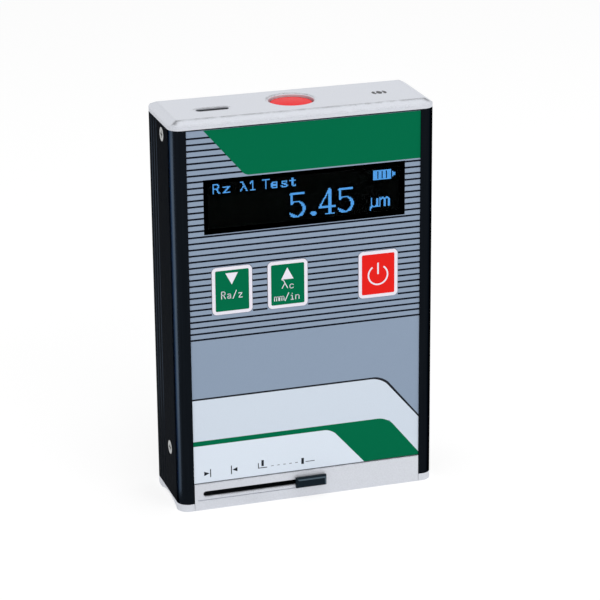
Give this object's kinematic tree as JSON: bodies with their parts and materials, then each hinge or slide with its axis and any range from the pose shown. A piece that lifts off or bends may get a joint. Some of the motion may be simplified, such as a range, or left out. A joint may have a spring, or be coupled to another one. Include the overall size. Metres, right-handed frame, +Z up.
{
  "type": "surface roughness tester",
  "caption": "Pocket surface roughness tester: slim upright case with a digital display, keys, a red start button and a shutter lever over a stylus in the arched base.",
  "frame": {"origin": "middle of the case on the plane that the base stands on", "axes": "+X to the right seen from the front, +Y towards the back, +Z up"},
  "size_m": [0.07, 0.0257, 0.105],
  "materials": {
    "black_anodised": "matt black anodised extrusion",
    "silver_anodised": "bead blasted, clear anodised",
    "label_film": "satin printed film",
    "pane": "polished clear acrylic",
    "display_glass": "black display glass on its board",
    "board": "green solder mask",
    "black_plastic": "moulded, fine grain",
    "green_key": "satin moulding",
    "red_key": "satin moulding",
    "red_button": "glossy domed moulding",
    "plated_steel": "nickel plated",
    "bright_steel": "ground and polished",
    "frame_alloy": "milled",
    "dark_alloy": "grey anodised",
    "brass": "turned",
    "white_acetal": "moulded",
    "cell_wrap": "shrink film",
    "copper_coil": "wound wire"
  },
  "bodies": {
    "case": {"housing": "black_anodised", "top_cap": "silver_anodised", "base": "silver_anodised", "slot_plate": "silver_anodised", "front_label": "label_film", "display_window": "pane", "oled_module": "display_glass", "display_header": "black_plastic", "main_board": "board", "key_switches": "black_plastic", "start_switch": "black_plastic", "usb_socket": "plated_steel", "battery": "cell_wrap", "control_chips": "black_plastic", "side_screws": "plated_steel", "drive_frame": "frame_alloy", "frame_screws": "plated_steel", "guide_rods": "bright_steel", "screw_bushes": "brass", "gear_motor": "plated_steel"},
    "start_button_body": {"start_button": "red_button"},
    "down_key_body": {"down_key": "green_key"},
    "up_key_body": {"up_key": "green_key"},
    "power_key_body": {"power_key": "red_key"},
    "shutter": {"shutter_plate": "plated_steel", "shutter_lever": "black_plastic"},
    "screw": {"lead_screw": "bright_steel", "screw_gear": "white_acetal"},
    "pinion": {"motor_pinion": "brass"},
    "slide_block": {"carriage": "dark_alloy", "drive_nut": "brass", "pickup_pin": "bright_steel"},
    "pickup": {"pickup_body": "frame_alloy", "pickup_skid": "bright_steel", "sensor_coil": "copper_coil", "stylus_pin": "bright_steel"},
    "stylus": {"stylus_arm": "frame_alloy", "stylus_tip": "bright_steel"}
  },
  "joints": [
    {"name": "start_button_press", "type": "slide", "parent": "case", "child": "start_button_body", "axis": [0, 0, -1], "range_m": [0, 0.0005], "stiffness_N_per_m": 1500},
    {"name": "down_key_press", "type": "slide", "parent": "case", "child": "down_key_body", "axis": [0, 1, 0], "range_m": [0, 0.00035], "stiffness_N_per_m": 3000},
    {"name": "up_key_press", "type": "slide", "parent": "case", "child": "up_key_body", "axis": [0, 1, 0], "range_m": [0, 0.00035], "stiffness_N_per_m": 3000},
    {"name": "power_key_press", "type": "slide", "parent": "case", "child": "power_key_body", "axis": [0, 1, 0], "range_m": [0, 0.00035], "stiffness_N_per_m": 3000},
    {"name": "shutter_slide", "type": "slide", "parent": "case", "child": "shutter", "axis": [-1, 0, 0], "range_m": [0, 0.0265]},
    {"name": "screw_spin", "type": "hinge", "parent": "case", "child": "screw", "pos_m": [0.014, 0.0005, 0.014], "axis": [-1, 0, 0], "range_deg": [0, 4320.1]},
    {"name": "pinion_spin", "type": "hinge", "parent": "case", "child": "pinion", "pos_m": [0.0276, 0.0005, 0.0231], "axis": [-1, 0, 0], "range_deg": [-8640.2, 0]},
    {"name": "carriage_traverse", "type": "slide", "parent": "case", "child": "slide_block", "axis": [1, 0, 0], "range_m": [0, 0.006]},
    {"name": "pickup_lift", "type": "hinge", "parent": "slide_block", "child": "pickup", "pos_m": [0.008, -0.001, 0.007], "axis": [0, 1, 0], "range_deg": [0, 10.3]},
    {"name": "stylus_deflect", "type": "hinge", "parent": "pickup", "child": "stylus", "pos_m": [-0.012, -0.001, 0.0064], "axis": [0, 1, 0], "range_deg": [-0.6, 0.6], "stiffness_Nm_per_rad": 0.02}
  ],
  "couplings": [
    {"joint": "screw_spin", "follows": "carriage_traverse", "rad_per_m": 12566},
    {"joint": "pinion_spin", "follows": "carriage_traverse", "rad_per_m": -25133},
    {"joint": "pickup_lift", "follows": "shutter_slide", "rad_per_m": 6.7178}
  ]
}
